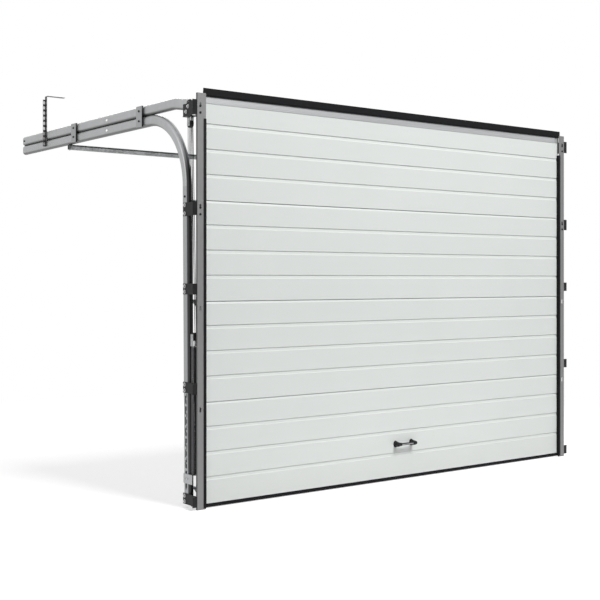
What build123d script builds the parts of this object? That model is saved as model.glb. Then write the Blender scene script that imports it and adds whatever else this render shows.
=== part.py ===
from build123d import *
import math
import os

# Sectional garage door with its frame, tracks and tension springs. X runs to the right seen from
# outside, Y into the garage and Z up. Every piece is drawn about the middle of the opening, with
# the wall plane at Y = 0 and the floor at Z = 0. When it is written it is moved sideways, so that
# the origin lies on the front face of the left post, in the middle of its foot.

# Overall sizes, in millimetres
FRAME_WIDTH = 2750.0
RAIL_REACH = 2150.0
SECTION_HEIGHT = 500.0
SECTION_COUNT = 4

# Leaf: foam-filled steel sections with three pressed ribs each
LEAF_FOOT = 25.0
LEAF_FACE = 16.0
LEAF_THICKNESS = 40.0
LEAF_SIDE_ROOM = 40.0
JOINT_GAP = 2.0
JOINT_RAMP = 12.0
TONGUE_HEIGHT = 8.0
TONGUE_WIDTH = 16.0
TONGUE_TAPER = 2.0
TONGUE_CLEARANCE = 0.6
RIB_TOPS = (132.0, 257.0, 382.0)
RIB_HEIGHT = 20.0
RIB_DEPTH = 5.0
RIB_ROUNDING = 1.2
BACK_GROOVE = 2.0
CAP_SHEET = 1.5
CAP_BACK = 66.0
CAP_END_ROOM = 2.0

# Edge profiles and seals of the leaf
PROFILE_WALL = 2.0
PROFILE_LAP = 20.0
TOP_PROFILE_RISE = 13.0
TOP_PROFILE_OVERHANG = 2.5
TOP_SEAL_HEIGHT = 40.0
TOP_SEAL_FRONT = 3.0
TOP_SEAL_FOOT = 8.0
TOP_SEAL_LIP = 3.0
BOTTOM_SEAL_GAP = 2.0
BOTTOM_SEAL_WIDTH = 34.0
BOTTOM_SEAL_WALL = 3.0
BOTTOM_SEAL_ROUNDING = 8.0

# Handle
HANDLE_SPAN = 150.0
HANDLE_Z = 205.0
HANDLE_REACH = 42.0
HANDLE_FOOT = (30.0, 38.0)
HANDLE_WAIST = (25.0, 29.0, 15.0)
HANDLE_HEAD = (22.0, 24.0)
HANDLE_NECK = 5.0
HANDLE_ROUNDING = 2.5
HANDLE_SOCKET = 19.0
HANDLE_BAR = 14.0
HANDLE_BAR_PLAY = 0.1

# Posts
POST_FACE = 50.0
POST_SHEET = 1.5
POST_RETURN = 12.0
POST_GRIP = 9.0
POST_RISE = 26.0
POST_SLOT = (10.0, 25.0)
POST_SLOT_FIRST = 492.0
POST_SLOT_PITCH = 500.0
POST_SLOT_COUNT = 4
POST_SLOT_EDGE = 17.5
POST_HOLE = 10.0
POST_HOLE_COUNT = 2
POST_HOLE_DROP = 38.0
LIP_REACH = 10.0
LIP_FOOT = 6.0
LIP_DROP = 99.0

# Tracks: a rolled C-section, open towards the leaf
TRACK_HEIGHT = 57.5
TRACK_DEPTH = 27.0
TRACK_SHEET = 1.5
TRACK_MOUTH = 37.0
TRACK_WEB_ROUNDING = 18.0
TRACK_LIP_ROUNDING = 3.0
TRACK_TOP_LINE = 124.0
TRACK_LEAN = 0.62
TRACK_FOOT = 14.0
CURVE_RADIUS = 375.0
RAIL_DROP = 55.0
BEND_START = 255.0
BEND_RADIUS = 150.0
BEND_ANGLE = 9.4
BEND_TIP = 130.0
WEB_SLOT = (9.0, 42.0)
WEB_SLOT_FIRST = 106.0
WEB_SLOT_PITCH = 53.5
WEB_SLOT_COUNT = 10
RAIL_SLOT = (25.0, 11.0)
RAIL_SLOT_FROM_END = 1178.0
RAIL_END_HOLE = 8.0
RAIL_END_ROOM = 12.0

# Rollers and the hinges that carry them
ROLLER_DIAMETER = 47.0
ROLLER_WIDTH = 13.5
ROLLER_ROUNDING = 5.5
ROLLER_HUB = 24.0
ROLLER_HUB_RISE = 1.5
ROLLER_PLAY = 0.4
ROLLER_WEB_ROOM = 9.0
AXLE_DIAMETER = 11.0
AXLE_PLAY = 0.1
AXLE_END = 4.0
CARRIER_TUBE = 18.0
CARRIER_WIDTH = 54.0
CARRIER_EDGE = 8.0
CARRIER_SHEET = 3.0
CHEEK_INSET = 4.0
HINGE_LEAF = 52.0
HINGE_ROOM = 3.0
KNUCKLE_DIAMETER = 10.0
CENTER_HINGE_WIDTH = 60.0
CENTER_HINGE_SPACING = 660.0
CENTER_HINGE_COLUMNS = 3
BOTTOM_ROLLER_RISE = 65.0
BOTTOM_PLATE_RISE = 30.0
TOP_ROLLER_ALONG = 100.0
TOP_CARRIER_DROP = 120.0
TOP_CARRIER_HEIGHT = 80.0

# Black pressed brackets between the track and the wall
BRACKET_SHEET = 3.0
BRACKET_FOOT = 27.0
BRACKET_BACK = 132.0
BRACKET_JOGGLE = 6.0
BRACKET_JOGGLE_Y = (22.0, 30.0, 44.0, 52.0)
BRACKET_PLACES = ((41.0, 54.0), (595.0, 54.0), (1086.0, 54.0), (1483.0, 67.0))
TOP_BRACKET_DROP = 80.0
TOP_BRACKET_HEIGHT = 72.0
TOP_BRACKET_STEP = (9.0, 57.0, 30.0)
TOP_SHELF_Y = (62.0, 136.0)
TOP_SHELF_REACH = 45.0

# Plates, hangers and cross bar of the horizontal rails
RAIL_PLATES_FROM_END = (1574.0, 772.0)
RAIL_PLATE_WIDTH = 62.0
RAIL_PLATE_RISE = 10.0
RAIL_PLATE_SHEET = 2.0
HANGER_FROM_END = 362.0
HANGER_FOOT_DROP = 10.0
HANGER_HEIGHT = 313.0
HANGER_WIDE_LEG = 27.0
HANGER_SHORT_LEG = 16.0
HANGER_SHEET = 2.5
HANGER_REACH = 120.0
HANGER_SLOT = (7.0, 20.0)
HANGER_SLOT_PITCH = 32.0
HANGER_NOTCH = 22.0
HANGER_END_SLOT = 24.0
CROSS_BAR_FROM_END = 670.0
CROSS_BAR_HEIGHT = 30.0
CROSS_BAR_DEPTH = 20.0
CROSS_BAR_LIP = 19.0
CROSS_BAR_SHEET = 2.0
CROSS_BAR_END = 6.0

# Tension springs, pulleys and twin ropes
SPRING_LINE = 17.0
SPRING_Y = 60.0
SPRING_DIAMETER = 29.0
SPRING_BORE = 19.0
SPRING_FOOT = 166.0
SPRING_HEAD = 802.0
SPRING_PLUG = 20.0
ANCHOR_PLATE = (44.0, 128.0, 118.0)
ANCHOR_REACH = 35.0
ANCHOR_SHEET = 3.0
LOWER_PULLEY_Z = 849.0
UPPER_PULLEY_LINE = 34.0
UPPER_PULLEY_Y = 122.0
UPPER_PULLEY_DROP = 31.0
PULLEY_RADIUS = 20.5
PULLEY_WIDTH = 15.4
PULLEY_PITCH_RADIUS = 17.0
GROOVE_FLOOR_RADIUS = 13.4
GROOVE_WIDTH = 5.2
GROOVE_FLOOR_WIDTH = 3.2
PULLEY_PIN = 8.0
PULLEY_PIN_PLAY = 0.08
PULLEY_HOLE = 5.0
PULLEY_HOLE_RADIUS = 9.0
PULLEY_HOLE_COUNT = 5
PULLEY_SIDE_ROOM = 2.0
PIN_HEAD = 1.5
YOKE_SHEET = 2.5
YOKE_WIDTH = 24.0
YOKE_END = 12.0
ROPE_DIAMETER = 4.0
ROPE_SPACING = 7.5
ROPE_BEND = 16.6
ROPE_ANCHOR_LINE = 9.0
ROPE_ANCHOR_Y = 72.0
ROPE_HOOK_LINE = 35.0
ROPE_HOOK_BEHIND = 13.0
ROPE_LUG = (12.8, 13.0, 17.0)
ROPE_LUG_RISE = 5.0
SEAT = 0.1

# Places worked out from the sizes above
HALF = FRAME_WIDTH / 2
ORIGIN_SHIFT = HALF - POST_FACE / 2
LEAF_HALF = HALF - LEAF_SIDE_ROOM
LEAF_BACK = LEAF_FACE + LEAF_THICKNESS
LEAF_TOP = LEAF_FOOT + SECTION_COUNT * SECTION_HEIGHT
POST_TOP = LEAF_TOP + POST_RISE
LIP_TOP = LEAF_TOP - LIP_DROP
TOP_BRACKET_FOOT = LEAF_TOP - TOP_BRACKET_DROP
JOINT_HEIGHTS = [LEAF_FOOT + i * SECTION_HEIGHT for i in range(1, SECTION_COUNT)]
CARRIER_Y = LEAF_BACK + CAP_SHEET
CARRIER_X = LEAF_HALF - CARRIER_EDGE
LOWER_RAIL_Z = LEAF_TOP - RAIL_DROP
UPPER_RAIL_Z = LOWER_RAIL_Z + TRACK_HEIGHT
HANGER_Y = RAIL_REACH - HANGER_FROM_END
HANGER_FOOT_Z = LOWER_RAIL_Z - HANGER_FOOT_DROP
HANGER_TOP_Z = HANGER_FOOT_Z + HANGER_HEIGHT
RAIL_PLATES_Y = [RAIL_REACH - reach for reach in RAIL_PLATES_FROM_END]
CROSS_BAR_Y = RAIL_REACH - CROSS_BAR_FROM_END
RAIL_SLOT_Y = RAIL_REACH - RAIL_SLOT_FROM_END
LEAN = math.radians(TRACK_LEAN)
CURVE_CENTER_Z = LOWER_RAIL_Z - CURVE_RADIUS
CURVE_END_Y = TRACK_TOP_LINE + CURVE_RADIUS * math.cos(LEAN)
CURVE_START_Z = CURVE_CENTER_Z + CURVE_RADIUS * math.sin(LEAN)
ROLLER_OFFSET = TRACK_HEIGHT / 2 - TRACK_SHEET - ROLLER_DIAMETER / 2 - ROLLER_PLAY
ROLLER_X = HALF - TRACK_SHEET - ROLLER_WEB_ROOM
TILT = math.radians(BEND_ANGLE)
SPRING_X = HALF - SPRING_LINE
UPPER_PULLEY_X = HALF - UPPER_PULLEY_LINE
UPPER_PULLEY_Z = TOP_BRACKET_FOOT - UPPER_PULLEY_DROP
BOTTOM_ROLLER_Z = LEAF_FOOT + BOTTOM_ROLLER_RISE


def block(x0, x1, y0, y1, z0, z1):
    """A box between two corners."""
    return Pos((x0 + x1) / 2, (y0 + y1) / 2, (z0 + z1) / 2) * Box(x1 - x0, y1 - y0, z1 - z0)


def bar_x(diameter, x0, x1, y, z):
    """A round bar along X."""
    return Pos((x0 + x1) / 2, y, z) * Rot(0, 90, 0) * Cylinder(diameter / 2, x1 - x0)


def bar_z(diameter, x, y, z0, z1):
    """A round bar along Z."""
    return Pos(x, y, (z0 + z1) / 2) * Cylinder(diameter / 2, z1 - z0)


def outline(points):
    return make_face(Polyline(*points, close=True))


def along_x(face, x0, x1):
    """Extrudes a face drawn in Y and Z."""
    return extrude(Plane.YZ.offset(x0) * face, amount=x1 - x0)


def along_y(face, y0, y1):
    """Extrudes a face drawn in X and Z."""
    return extrude(Plane((0, y1, 0), x_dir=(1, 0, 0), z_dir=(0, -1, 0)) * face, amount=y1 - y0)


def along_z(face, z0, z1):
    """Extrudes a face drawn in X and Y."""
    return extrude(Plane.XY.offset(z0) * face, amount=z1 - z0)


def slot_face(center, size):
    """A slot with round ends, or a round hole where both sizes are the same."""
    wide, high = size
    if wide == high:
        return Pos(*center) * Circle(wide / 2)
    if wide > high:
        return Pos(*center) * SlotOverall(wide, high)
    return Pos(*center) * Rot(0, 0, 90) * SlotOverall(high, wide)


def folded_sheet(points, sheet):
    """The cut face of a folded sheet whose middle line runs through the points."""
    middle = [Vector(*point) for point in points]
    directions = [(b - a).normalized() for a, b in zip(middle, middle[1:])]
    normals = [Vector(-d.Y, d.X) for d in directions]
    ring = []
    for i, point in enumerate(middle):
        after = normals[min(i, len(normals) - 1)]
        mitre = (normals[max(i - 1, 0)] + after).normalized()
        reach = mitre * (sheet / 2 / mitre.dot(after))
        ring.insert(i, point + reach)
        ring.insert(i + 1, point - reach)
    return outline([(p.X, p.Y) for p in ring])


def write(name, *pieces):
    """Moves the solids of a node to the part's origin and writes them to one file."""
    moved = [s.moved(Location((ORIGIN_SHIFT, 0, 0))) for piece in pieces for s in piece.solids()]
    export_step(moved[0] if len(moved) == 1 else Compound(moved), f"parts/{name}.step")


def write_sides(name, *pieces):
    """Writes the right-hand pieces and their mirror images as two nodes."""
    write(f"{name}_right", *pieces)
    write(f"{name}_left", *[mirror(piece, about=Plane.YZ) for piece in pieces])


def write_both(name, *pieces):
    """Writes the right-hand pieces and their mirror images as one node."""
    write(name, *pieces, *[mirror(piece, about=Plane.YZ) for piece in pieces])


# Leaf sections
def rib_outline(top):
    """One pressed rib of the outer skin, from below: a steep ramp in, a gentle slope, a step out."""
    foot = top - RIB_HEIGHT
    return [
        (LEAF_FACE, foot),
        (LEAF_FACE + 0.55 * RIB_DEPTH, foot + 0.15 * RIB_HEIGHT),
        (LEAF_FACE + RIB_DEPTH, top - 0.1 * RIB_HEIGHT),
        (LEAF_FACE, top),
    ]


def tongue_outline(low, high, half_width):
    middle = LEAF_FACE + LEAF_THICKNESS / 2
    return [
        (middle - half_width, low),
        (middle + half_width, low),
        (middle + half_width - TONGUE_TAPER, high),
        (middle - half_width + TONGUE_TAPER, high),
    ]


def leaf_section(index):
    is_bottom = index == 0
    is_top = index == SECTION_COUNT - 1
    foot = LEAF_FOOT + index * SECTION_HEIGHT
    low = foot if is_bottom else foot + JOINT_GAP / 2
    high = foot + SECTION_HEIGHT - (0 if is_top else JOINT_GAP / 2)
    front = [(LEAF_FACE, low)]
    for top in RIB_TOPS:
        front += rib_outline(foot + top)
    if is_top:
        front.append((LEAF_FACE, high))
    else:
        front += [(LEAF_FACE, high - JOINT_RAMP), (LEAF_FACE + RIB_DEPTH, high)]
    back = [(LEAF_BACK, high)]
    for top in reversed(RIB_TOPS):
        groove = foot + top - RIB_HEIGHT / 2
        back.append((LEAF_BACK, groove + 2 * BACK_GROOVE))
        back.append((LEAF_BACK - BACK_GROOVE, groove))
        back.append((LEAF_BACK, groove - 2 * BACK_GROOVE))
    back.append((LEAF_BACK, low))
    face = outline(front + back)
    skin = [v for v in face.vertices() if LEAF_FACE < v.X < LEAF_FACE + RIB_DEPTH + 1]
    face = fillet([v for v in skin if v.Y < high - 1], RIB_ROUNDING)
    if not is_top:
        face += outline(tongue_outline(high - 1, high + TONGUE_HEIGHT, TONGUE_WIDTH / 2))
    if not is_bottom:
        depth = TONGUE_HEIGHT - JOINT_GAP / 2 + TONGUE_CLEARANCE
        half_width = TONGUE_WIDTH / 2 + TONGUE_CLEARANCE
        face -= outline(tongue_outline(foot - JOINT_GAP, foot + depth, half_width))
    return along_x(face, CAP_SHEET - LEAF_HALF, LEAF_HALF - CAP_SHEET)


def end_cap(index):
    """A folded steel cap over the end and the rear edge of one section."""
    foot = LEAF_FOOT + index * SECTION_HEIGHT
    low = foot + (PROFILE_LAP if index == 0 else 0) + CAP_END_ROOM
    lap = PROFILE_LAP if index == SECTION_COUNT - 1 else 0
    high = foot + SECTION_HEIGHT - lap - CAP_END_ROOM
    x = LEAF_HALF - CAP_SHEET / 2
    y = LEAF_BACK + CAP_SHEET / 2
    corners = [(x, LEAF_FACE + CAP_SHEET), (x, y), (LEAF_HALF - CAP_BACK, y)]
    return along_z(folded_sheet(corners, CAP_SHEET), low, high)


# Edge profiles and seals
def top_profile():
    """The aluminium head profile: a front leg over the skin and a channel round the top edge."""
    half = LEAF_HALF + TOP_PROFILE_OVERHANG
    mid = PROFILE_WALL / 2
    leg_foot = LEAF_TOP - PROFILE_LAP
    near = LEAF_FACE - mid
    far = LEAF_BACK + mid
    front = folded_sheet([(near, leg_foot), (near, LEAF_TOP + TOP_PROFILE_RISE)], PROFILE_WALL)
    cover = folded_sheet([(near, LEAF_TOP + mid), (far, LEAF_TOP + mid), (far, leg_foot)], PROFILE_WALL)
    return along_x(front + cover, -half, half)


def top_seal():
    """The rubber lintel seal: a foot on the head profile and a lip that leans to the wall."""
    half = LEAF_HALF + TOP_PROFILE_OVERHANG
    foot = LEAF_TOP + TOP_PROFILE_RISE
    top = foot + TOP_SEAL_HEIGHT
    back = LEAF_FACE + 1
    front = TOP_SEAL_FRONT
    points = [
        (back, foot),
        (back, foot + TOP_SEAL_FOOT),
        (front + 2 * TOP_SEAL_LIP, foot + 2 * TOP_SEAL_FOOT),
        (front + TOP_SEAL_LIP, top),
        (front, top),
        (front, foot + TOP_SEAL_FOOT),
        (front + 2 * TOP_SEAL_LIP, foot),
    ]
    return along_x(outline(points), -half, half)


def bottom_profile():
    """The aluminium sill profile under the lowest section."""
    mid = PROFILE_WALL / 2
    low = LEAF_FOOT - mid
    far = LEAF_BACK + mid
    corners = [(LEAF_FACE, low), (far, low), (far, LEAF_FOOT + PROFILE_LAP)]
    return along_x(folded_sheet(corners, PROFILE_WALL), -LEAF_HALF, LEAF_HALF)


def bottom_seal():
    """The hollow rubber seal along the floor."""
    height = LEAF_FOOT - PROFILE_WALL - BOTTOM_SEAL_GAP
    center = Pos(LEAF_FACE + LEAF_THICKNESS / 2, BOTTOM_SEAL_GAP + height / 2)
    wall = 2 * BOTTOM_SEAL_WALL
    rounding = BOTTOM_SEAL_ROUNDING
    outside = RectangleRounded(BOTTOM_SEAL_WIDTH, height, rounding)
    hollow = RectangleRounded(BOTTOM_SEAL_WIDTH - wall, height - wall, rounding - BOTTOM_SEAL_WALL)
    return along_x(center * (outside - hollow), CAP_SHEET - LEAF_HALF, LEAF_HALF - CAP_SHEET)


# Handle
def handle_end():
    """A plastic handle end: an oval foot that tapers to a round head with a socket for the bar."""
    x = HANDLE_SPAN / 2 - HANDLE_FOOT[0] / 2
    bar_y = LEAF_FACE - HANDLE_REACH + HANDLE_SOCKET / 2
    foot_plane = Plane((x, LEAF_FACE, HANDLE_Z), x_dir=(1, 0, 0), z_dir=(0, -1, 0))
    foot = foot_plane * Ellipse(HANDLE_FOOT[0] / 2, HANDLE_FOOT[1] / 2)
    waist_width, waist_height, waist_out = HANDLE_WAIST
    waist = foot_plane.offset(waist_out) * Ellipse(waist_width / 2, waist_height / 2)
    head_plane = foot_plane.offset(HANDLE_REACH - HANDLE_SOCKET / 2)
    head = head_plane * Ellipse(HANDLE_HEAD[0] / 2, HANDLE_HEAD[1] / 2)
    body = loft([foot, waist, head])
    knob = Pos(x, bar_y, HANDLE_Z) * Rot(0, 90, 0) * Cylinder(HANDLE_SOCKET / 2, HANDLE_HEAD[0])
    knob = fillet(knob.edges().filter_by(GeomType.CIRCLE), HANDLE_ROUNDING)
    neck = x - HANDLE_HEAD[0] / 2 - HANDLE_NECK
    socket = bar_x(HANDLE_SOCKET - SEAT, neck, x, bar_y, HANDLE_Z)
    bore = bar_x(HANDLE_BAR + 2 * HANDLE_BAR_PLAY, 0, x, bar_y, HANDLE_Z)
    return body + knob + socket - bore


def handle_bar():
    bar_y = LEAF_FACE - HANDLE_REACH + HANDLE_SOCKET / 2
    reach = HANDLE_SPAN / 2 - HANDLE_FOOT[0] / 2
    return bar_x(HANDLE_BAR, -reach, reach, bar_y, HANDLE_Z)


# Hinges and rollers
def carrier_arms(y, z, foot_low, foot_high, plate_low, plate_high):
    """A hinge plate on the end cap with two cheeks and the tube that takes a roller axle."""
    inner = CARRIER_X - CARRIER_WIDTH
    plate = block(inner, CARRIER_X, CARRIER_Y, CARRIER_Y + CARRIER_SHEET, plate_low, plate_high)
    radius = CARRIER_TUBE / 2
    cheek = outline([
        (CARRIER_Y + 1, foot_low),
        (CARRIER_Y + 1, foot_high),
        (y - 0.3 * radius, z + 0.9 * radius),
        (y + 0.5 * radius, z - 0.8 * radius),
    ])
    near = along_x(cheek, inner, inner + CARRIER_SHEET)
    far = along_x(cheek, CARRIER_X - CARRIER_SHEET, CARRIER_X)
    tube = bar_x(CARRIER_TUBE, inner, CARRIER_X, y, z)
    return plate + near + far + tube


def axle_bore(y, z):
    return bar_x(AXLE_DIAMETER + 2 * AXLE_PLAY, 0, HALF, y, z)


def hinge_leaves(x0, x1, z, face_y):
    """Two hinge leaves that meet in a knuckle on the joint line."""
    lower = block(x0, x1, face_y, face_y + CARRIER_SHEET, z - HINGE_LEAF, z - HINGE_ROOM)
    upper = block(x0, x1, face_y, face_y + CARRIER_SHEET, z + HINGE_ROOM, z + HINGE_LEAF)
    return lower + upper + bar_x(KNUCKLE_DIAMETER, x0, x1, face_y + KNUCKLE_DIAMETER / 2 + SEAT, z)


def side_hinge(z):
    hinge = hinge_leaves(CARRIER_X - CARRIER_WIDTH, CARRIER_X, z, CARRIER_Y)
    y = roller_line(z)
    low = z - HINGE_LEAF
    high = z - HINGE_ROOM
    hinge += carrier_arms(y, z, low + CHEEK_INSET, high, low, high)
    return hinge - axle_bore(y, z)


def top_roller_place():
    """The top roller lies on the lower flange of the bent tip of the upper rail."""
    along = TOP_ROLLER_ALONG
    y = BEND_START - BEND_RADIUS * math.sin(TILT) - along * math.cos(TILT)
    z = UPPER_RAIL_Z - BEND_RADIUS * (1 - math.cos(TILT)) - along * math.sin(TILT)
    return y + ROLLER_OFFSET * math.sin(TILT), z - ROLLER_OFFSET * math.cos(TILT)


def top_roller_carrier():
    y, z = top_roller_place()
    low = LEAF_TOP - TOP_CARRIER_DROP
    high = low + TOP_CARRIER_HEIGHT
    return carrier_arms(y, z, low + CHEEK_INSET, high, low, high) - axle_bore(y, z)


def bottom_bracket():
    """The bottom roller bracket, whose tube runs on past the leaf and carries the rope lug."""
    z = BOTTOM_ROLLER_Z
    y = roller_line(z)
    low = LEAF_FOOT + PROFILE_LAP + CAP_END_ROOM
    bracket = carrier_arms(y, z, low + CHEEK_INSET, z, low, z + BOTTOM_PLATE_RISE)
    hook_x = HALF - ROPE_HOOK_LINE
    wide, deep, high = ROPE_LUG
    bracket += bar_x(CARRIER_TUBE, CARRIER_X, hook_x + wide / 2, y, z)
    lug_y = y + ROPE_HOOK_BEHIND - deep / 2
    top = z + ROPE_LUG_RISE
    bracket += block(hook_x - wide / 2, hook_x + wide / 2, lug_y, lug_y + deep, top - high, top)
    return bracket - axle_bore(y, z)


def roller(y, z):
    """A nylon wheel with a raised hub, turning on the end of its steel axle."""
    start = CARRIER_X - CARRIER_WIDTH - AXLE_END
    wheel = bar_x(ROLLER_DIAMETER, ROLLER_X - ROLLER_WIDTH, ROLLER_X, y, z)
    wheel = fillet(wheel.edges().filter_by(GeomType.CIRCLE), ROLLER_ROUNDING)
    rise = ROLLER_HUB_RISE
    hub = bar_x(ROLLER_HUB, ROLLER_X - ROLLER_WIDTH - rise, ROLLER_X + rise, y, z)
    return wheel + hub + bar_x(AXLE_DIAMETER, start, ROLLER_X, y, z)


def center_hinges():
    middle = (CENTER_HINGE_COLUMNS - 1) / 2
    for z in JOINT_HEIGHTS:
        for column in range(CENTER_HINGE_COLUMNS):
            x = (column - middle) * CENTER_HINGE_SPACING
            yield hinge_leaves(x - CENTER_HINGE_WIDTH / 2, x + CENTER_HINGE_WIDTH / 2, z, LEAF_BACK)


# Posts
def post():
    """A folded steel post: a front flange with a deep outer return and a grip for the lip seal."""
    mid = POST_SHEET / 2
    inner = HALF - POST_FACE + mid
    outer = HALF - mid
    corners = [(inner - mid, mid), (outer, mid), (outer, POST_RETURN)]
    flange = along_z(folded_sheet(corners, POST_SHEET), 0, POST_TOP)
    grip = along_z(folded_sheet([(inner, mid), (inner, POST_GRIP)], POST_SHEET), 0, LIP_TOP)
    body = flange + grip
    slot_x = HALF - POST_SLOT_EDGE
    for i in range(POST_SLOT_COUNT):
        z = POST_SLOT_FIRST + i * POST_SLOT_PITCH
        cuts = [slot_face((slot_x, z), POST_SLOT)]
        if i >= POST_SLOT_COUNT - POST_HOLE_COUNT:
            cuts.append(slot_face((slot_x, z - POST_HOLE_DROP), (POST_HOLE, POST_HOLE)))
        for cut in cuts:
            body -= along_y(cut, -1, POST_SHEET + 1)
    return body


def lip_seal():
    """The rubber seal on the post's inner edge, which bears on the face of the leaf."""
    edge = HALF - POST_FACE
    tip = edge - LIP_REACH
    points = [
        (edge, 1.0),
        (tip + 1.5, 1.0),
        (tip, 3.0),
        (tip, LEAF_FACE - SEAT),
        (tip + 2.0, LEAF_FACE - SEAT),
        (tip + 2.5, 5.0),
        (edge - 2.5, 4.0),
        (edge - 2.5, POST_GRIP),
        (edge, POST_GRIP),
    ]
    return along_z(outline(points), LIP_FOOT, LIP_TOP)


# Tracks
def track_ring(inset):
    half = TRACK_HEIGHT / 2 - inset
    far = TRACK_DEPTH - inset
    face = outline([(inset, -half), (far, -half), (far, half), (inset, half)])
    face = fillet([v for v in face.vertices() if v.X < TRACK_DEPTH / 2], TRACK_WEB_ROUNDING - inset)
    lips = [v for v in face.vertices() if v.X > far - 0.01]
    return fillet(lips, TRACK_LIP_ROUNDING - inset)


def track_face():
    """The cut face of the track, drawn from the outside of its web."""
    mouth = Pos(TRACK_DEPTH, 0) * Rectangle(4 * TRACK_SHEET, TRACK_MOUTH)
    return track_ring(0) - track_ring(TRACK_SHEET) - mouth


def track_line(z):
    """How far behind the wall plane the middle of the vertical track is, because it leans in."""
    return TRACK_TOP_LINE - (CURVE_START_Z - z) * math.tan(LEAN)


def roller_line(z):
    return track_line(z) + ROLLER_OFFSET


def track_end(y, z, direction):
    """The plane of a cut across the right-hand track, looking along the track."""
    return Plane((HALF, y, z), x_dir=(-1, 0, 0), z_dir=direction)


def web_cut(y, z, size):
    return along_x(slot_face((y, z), size), HALF - 2 * TRACK_SHEET, HALF + 1)


def vertical_track():
    up = (0, math.sin(LEAN), math.cos(LEAN))
    face = track_end(track_line(TRACK_FOOT), TRACK_FOOT, up) * track_face()
    track = extrude(face, amount=(CURVE_START_Z - TRACK_FOOT) / math.cos(LEAN))
    for i in range(WEB_SLOT_COUNT):
        z = WEB_SLOT_FIRST + i * WEB_SLOT_PITCH
        track -= web_cut(track_line(z), z, WEB_SLOT)
    return track


def curved_track():
    up = (0, math.sin(LEAN), math.cos(LEAN))
    face = track_end(TRACK_TOP_LINE, CURVE_START_Z, up) * track_face()
    return revolve(face, Axis((0, CURVE_END_Y, CURVE_CENTER_Z), (-1, 0, 0)), 90 - TRACK_LEAN)


def lower_rail():
    face = track_end(CURVE_END_Y, LOWER_RAIL_Z, (0, 1, 0)) * track_face()
    rail = extrude(face, amount=RAIL_REACH - CURVE_END_Y)
    return rail - web_cut(RAIL_SLOT_Y, LOWER_RAIL_Z, RAIL_SLOT)


def upper_rail():
    """The top roller's rail, which dips towards the wall over its last stretch."""
    face = track_end(BEND_START, UPPER_RAIL_Z, (0, 1, 0)) * track_face()
    turn = Axis((0, BEND_START, UPPER_RAIL_Z - BEND_RADIUS), (1, 0, 0))
    rail = extrude(face, amount=RAIL_REACH - BEND_START)
    rail += revolve(face, turn, BEND_ANGLE)
    rail += extrude(face, amount=-BEND_TIP).rotate(turn, BEND_ANGLE)
    rail -= web_cut(RAIL_SLOT_Y, UPPER_RAIL_Z, RAIL_SLOT)
    return rail - web_cut(RAIL_REACH - RAIL_END_ROOM, UPPER_RAIL_Z, (RAIL_END_HOLE, RAIL_END_HOLE))


# Brackets
def bracket_face():
    """The cut face of a wall bracket: a foot on the wall and a leg with a joggle along the track."""
    mid = BRACKET_SHEET / 2
    leg = HALF + mid
    step = leg + BRACKET_JOGGLE
    ramp_in, crown_in, crown_out, ramp_out = BRACKET_JOGGLE_Y
    return folded_sheet([
        (HALF + BRACKET_FOOT, mid),
        (leg, mid),
        (leg, ramp_in),
        (step, crown_in),
        (step, crown_out),
        (leg, ramp_out),
        (leg, BRACKET_BACK),
    ], BRACKET_SHEET)


def track_brackets():
    for z, height in BRACKET_PLACES:
        yield along_z(bracket_face(), z - height / 2, z + height / 2)


def top_bracket():
    """The larger bracket that holds the tip of the upper rail, with a shelf for the pulley."""
    low = TOP_BRACKET_FOOT
    high = low + TOP_BRACKET_HEIGHT
    step, slope_start, slope_end = TOP_BRACKET_STEP
    corner = outline([
        (BRACKET_BACK - slope_start, high),
        (BRACKET_BACK - slope_end, high - step),
        (BRACKET_BACK + 1, high - step),
        (BRACKET_BACK + 1, high + 1),
        (BRACKET_BACK - slope_start, high + 1),
    ])
    leg = along_z(bracket_face(), low, high) - along_x(corner, HALF - 1, HALF + 20)
    front, back = TOP_SHELF_Y
    return leg + block(HALF - TOP_SHELF_REACH, HALF + BRACKET_SHEET, front, back, low, low + BRACKET_SHEET)


# Fittings of the horizontal rails
def rail_plates():
    """Channel-shaped plates that tie the two rails together."""
    low = LOWER_RAIL_Z - TRACK_HEIGHT / 2 + 2
    high = UPPER_RAIL_Z + TRACK_HEIGHT / 2 - 2
    mid = RAIL_PLATE_SHEET / 2
    outer = HALF + RAIL_PLATE_RISE - mid
    for y in RAIL_PLATES_Y:
        front = y - RAIL_PLATE_WIDTH / 2 + mid
        back = y + RAIL_PLATE_WIDTH / 2 - mid
        face = folded_sheet([(HALF, front), (outer, front), (outer, back), (HALF, back)], RAIL_PLATE_SHEET)
        yield along_z(face, low, high)


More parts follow.
